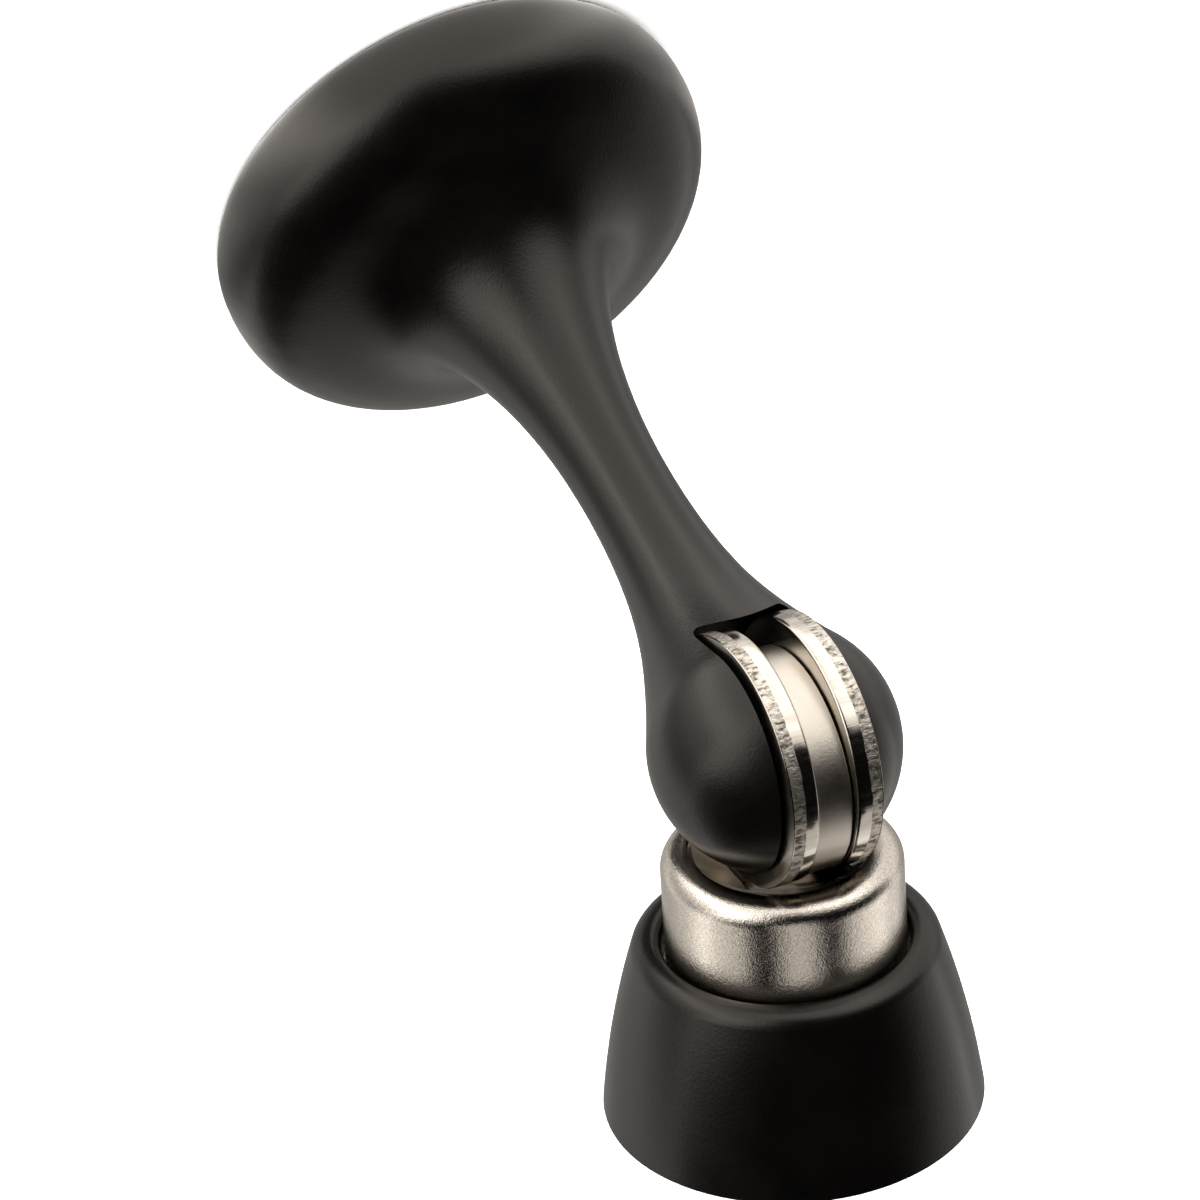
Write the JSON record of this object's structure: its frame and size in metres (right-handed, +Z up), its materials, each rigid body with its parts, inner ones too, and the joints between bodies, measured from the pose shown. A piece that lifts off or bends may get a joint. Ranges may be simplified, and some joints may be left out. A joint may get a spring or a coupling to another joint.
{
  "type": "floor door holder",
  "caption": "Magnetic floor door holder: domed dish, slim neck and forked ball with a magnetic wheel, and a sprung cone-shaped door strike.",
  "frame": {"origin": "centre of the dish's underside, on the floor", "axes": "+Z up the neck, +X towards the door, wheel axle along Y"},
  "size_m": [0.0685, 0.0514, 0.1088],
  "materials": {
    "black_coat": "satin black powder coat on a zinc casting",
    "zinc_steel": "zinc plated pressed steel",
    "black_steel": "black oxide steel",
    "pin_steel": "ground steel",
    "disc_nickel": "nickel plate over a blanked edge",
    "magnet_nickel": "satin nickel plate",
    "eyelet_brass": "plain drawn brass",
    "cup_nickel": "fine-grained nickel plate outside, polished in the seat",
    "black_rubber": "matte",
    "spring_steel": "drawn spring wire"
  },
  "bodies": {
    "floor_unit": {"holder_casting": "black_coat", "mounting_plate": "zinc_steel", "base_set_screw": "black_steel", "axle_pin": "pin_steel"},
    "magnet_wheel": {"left_pole_disc": "disc_nickel", "right_pole_disc": "disc_nickel", "ring_magnet": "magnet_nickel", "hub_eyelet": "eyelet_brass"},
    "door_strike": {"strike_housing": "black_coat", "strike_plate": "zinc_steel", "strike_set_screw": "black_steel", "buffer_washer": "black_rubber", "cup_spring": "spring_steel"},
    "keeper": {"keeper_cup": "cup_nickel"}
  },
  "joints": [
    {"name": "strike_swing", "type": "hinge", "parent": "floor_unit", "child": "magnet_wheel", "pos_m": [0, 0, 0.0763], "axis": [0, -1, 0], "range_deg": [-33, 165]},
    {"name": "strike_pull_off", "type": "slide", "parent": "magnet_wheel", "child": "door_strike", "axis": [0.9135, 0, 0.4067], "range_m": [0, 0.05]},
    {"name": "cup_travel", "type": "slide", "parent": "door_strike", "child": "keeper", "axis": [0.9135, 0, 0.4067], "range_m": [0, 0.0045], "stiffness_N_per_m": 500, "springref_m": -0.003, "deforming": ["cup_spring"]}
  ]
}
